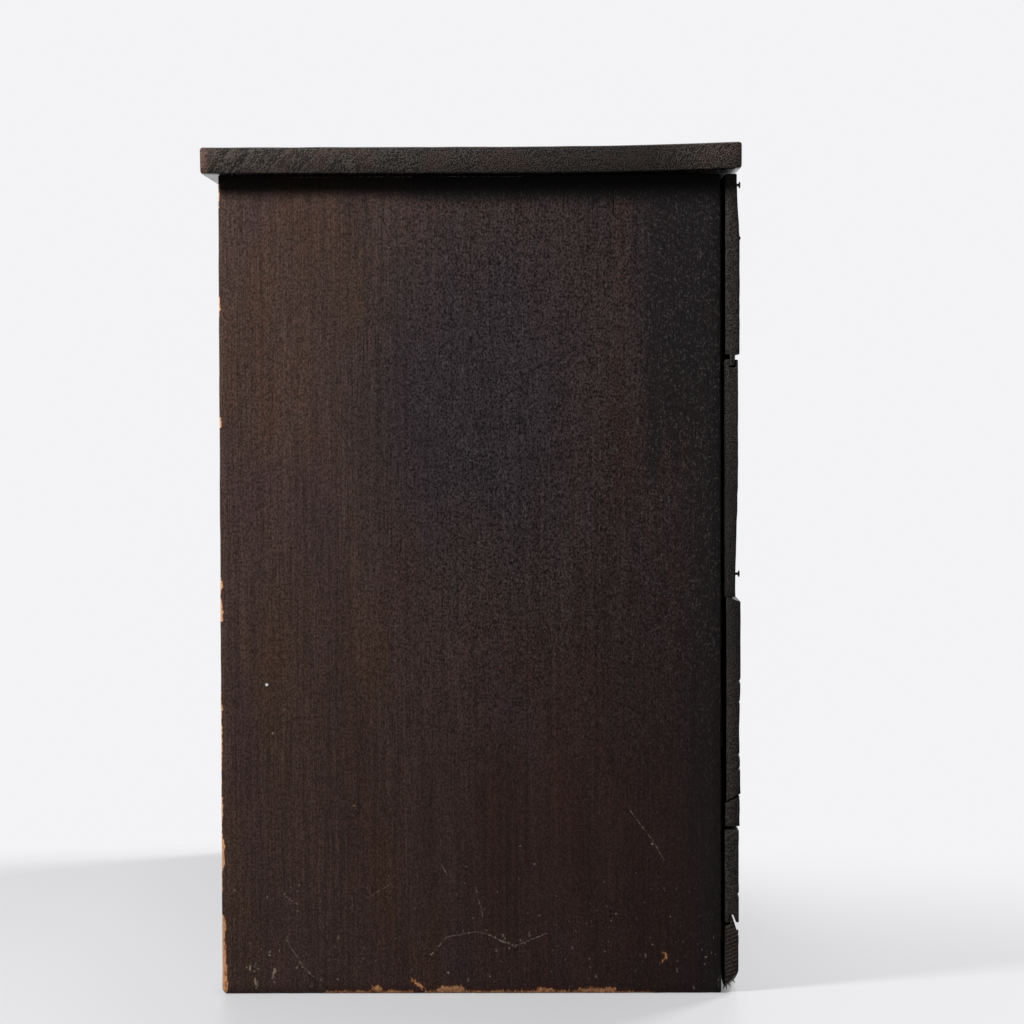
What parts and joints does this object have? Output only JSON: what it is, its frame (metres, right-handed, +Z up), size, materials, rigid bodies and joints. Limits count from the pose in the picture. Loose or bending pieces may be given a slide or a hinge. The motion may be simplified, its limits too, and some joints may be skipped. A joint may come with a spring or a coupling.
{
  "type": "apothecary chest",
  "caption": "Low wide chest of dark stained pine with a grid of small knobbed drawers, an overhanging top board and a nailed back of tongued boards.",
  "frame": {"origin": "on the floor, under the middle of the top board", "axes": "+X to the right of someone who faces the drawers, along the chest's width; +Y towards its back, the drawers opening towards -Y; +Z up"},
  "size_m": [1.02, 0.444, 0.7019],
  "materials": {
    "stained_pine": "dark brown stain, worn through at the edges, satin",
    "inner_pine": "aged bare pine with stained front edges, matt",
    "drawer_pine": "aged bare pine, matt",
    "iron": "dull rusted iron wire"
  },
  "bodies": {
    "carcase": {"top_board": "stained_pine", "top_nails": "iron", "side_panel_left": "stained_pine", "side_panel_right": "stained_pine", "bottom_board": "inner_pine", "plinth_board": "stained_pine", "shelf_1": "inner_pine", "shelf_2": "inner_pine", "shelf_3": "inner_pine", "partition_1": "inner_pine", "partition_2": "inner_pine", "partition_3": "inner_pine", "partition_4": "inner_pine", "back_board_1": "stained_pine", "back_board_2": "stained_pine", "back_board_3": "stained_pine", "back_board_4": "stained_pine", "back_board_5": "stained_pine", "back_board_nails": "iron"},
    "drawer_a1": {"drawer_a1_front": "stained_pine", "drawer_a1_box": "drawer_pine"},
    "drawer_a2": {"drawer_a2_front": "stained_pine", "drawer_a2_box": "drawer_pine"},
    "drawer_a3": {"drawer_a3_front": "stained_pine", "drawer_a3_box": "drawer_pine"},
    "drawer_a4": {"drawer_a4_front": "stained_pine", "drawer_a4_box": "drawer_pine"},
    "drawer_a5": {"drawer_a5_front": "stained_pine", "drawer_a5_box": "drawer_pine"},
    "drawer_b1": {"drawer_b1_front": "stained_pine", "drawer_b1_box": "drawer_pine"},
    "drawer_b2": {"drawer_b2_front": "stained_pine", "drawer_b2_box": "drawer_pine"},
    "drawer_b3": {"drawer_b3_front": "stained_pine", "drawer_b3_box": "drawer_pine"},
    "drawer_b4": {"drawer_b4_front": "stained_pine", "drawer_b4_box": "drawer_pine"},
    "drawer_b5": {"drawer_b5_front": "stained_pine", "drawer_b5_box": "drawer_pine"},
    "drawer_c1": {"drawer_c1_front": "stained_pine", "drawer_c1_box": "drawer_pine"},
    "drawer_c2": {"drawer_c2_front": "stained_pine", "drawer_c2_box": "drawer_pine"},
    "drawer_c3": {"drawer_c3_front": "stained_pine", "drawer_c3_box": "drawer_pine"},
    "drawer_c4": {"drawer_c4_front": "stained_pine", "drawer_c4_box": "drawer_pine"},
    "drawer_c5": {"drawer_c5_front": "stained_pine", "drawer_c5_box": "drawer_pine"},
    "drawer_d1": {"drawer_d1_front": "stained_pine", "drawer_d1_box": "drawer_pine"},
    "drawer_d2": {"drawer_d2_front": "stained_pine", "drawer_d2_box": "drawer_pine"},
    "drawer_d3": {"drawer_d3_front": "stained_pine", "drawer_d3_box": "drawer_pine"},
    "drawer_d4": {"drawer_d4_front": "stained_pine", "drawer_d4_box": "drawer_pine"},
    "drawer_d5": {"drawer_d5_front": "stained_pine", "drawer_d5_box": "drawer_pine"}
  },
  "joints": [
    {"name": "drawer_a1_slide", "type": "slide", "parent": "carcase", "child": "drawer_a1", "axis": [0, -1, 0], "range_m": [0, 0.3]},
    {"name": "drawer_a2_slide", "type": "slide", "parent": "carcase", "child": "drawer_a2", "axis": [0, -1, 0], "range_m": [0, 0.3]},
    {"name": "drawer_a3_slide", "type": "slide", "parent": "carcase", "child": "drawer_a3", "axis": [0, -1, 0], "range_m": [0, 0.3]},
    {"name": "drawer_a4_slide", "type": "slide", "parent": "carcase", "child": "drawer_a4", "axis": [0, -1, 0], "range_m": [0, 0.3]},
    {"name": "drawer_a5_slide", "type": "slide", "parent": "carcase", "child": "drawer_a5", "axis": [0, -1, 0], "range_m": [0, 0.3]},
    {"name": "drawer_b1_slide", "type": "slide", "parent": "carcase", "child": "drawer_b1", "axis": [0, -1, 0], "range_m": [0, 0.3]},
    {"name": "drawer_b2_slide", "type": "slide", "parent": "carcase", "child": "drawer_b2", "axis": [0, -1, 0], "range_m": [0, 0.3]},
    {"name": "drawer_b3_slide", "type": "slide", "parent": "carcase", "child": "drawer_b3", "axis": [0, -1, 0], "range_m": [0, 0.3]},
    {"name": "drawer_b4_slide", "type": "slide", "parent": "carcase", "child": "drawer_b4", "axis": [0, -1, 0], "range_m": [0, 0.3]},
    {"name": "drawer_b5_slide", "type": "slide", "parent": "carcase", "child": "drawer_b5", "axis": [0, -1, 0], "range_m": [0, 0.3]},
    {"name": "drawer_c1_slide", "type": "slide", "parent": "carcase", "child": "drawer_c1", "axis": [0, -1, 0], "range_m": [0, 0.3]},
    {"name": "drawer_c2_slide", "type": "slide", "parent": "carcase", "child": "drawer_c2", "axis": [0, -1, 0], "range_m": [0, 0.3]},
    {"name": "drawer_c3_slide", "type": "slide", "parent": "carcase", "child": "drawer_c3", "axis": [0, -1, 0], "range_m": [0, 0.3]},
    {"name": "drawer_c4_slide", "type": "slide", "parent": "carcase", "child": "drawer_c4", "axis": [0, -1, 0], "range_m": [0, 0.3]},
    {"name": "drawer_c5_slide", "type": "slide", "parent": "carcase", "child": "drawer_c5", "axis": [0, -1, 0], "range_m": [0, 0.3]},
    {"name": "drawer_d1_slide", "type": "slide", "parent": "carcase", "child": "drawer_d1", "axis": [0, -1, 0], "range_m": [0, 0.3]},
    {"name": "drawer_d2_slide", "type": "slide", "parent": "carcase", "child": "drawer_d2", "axis": [0, -1, 0], "range_m": [0, 0.3]},
    {"name": "drawer_d3_slide", "type": "slide", "parent": "carcase", "child": "drawer_d3", "axis": [0, -1, 0], "range_m": [0, 0.3]},
    {"name": "drawer_d4_slide", "type": "slide", "parent": "carcase", "child": "drawer_d4", "axis": [0, -1, 0], "range_m": [0, 0.3]},
    {"name": "drawer_d5_slide", "type": "slide", "parent": "carcase", "child": "drawer_d5", "axis": [0, -1, 0], "range_m": [0, 0.3]}
  ]
}
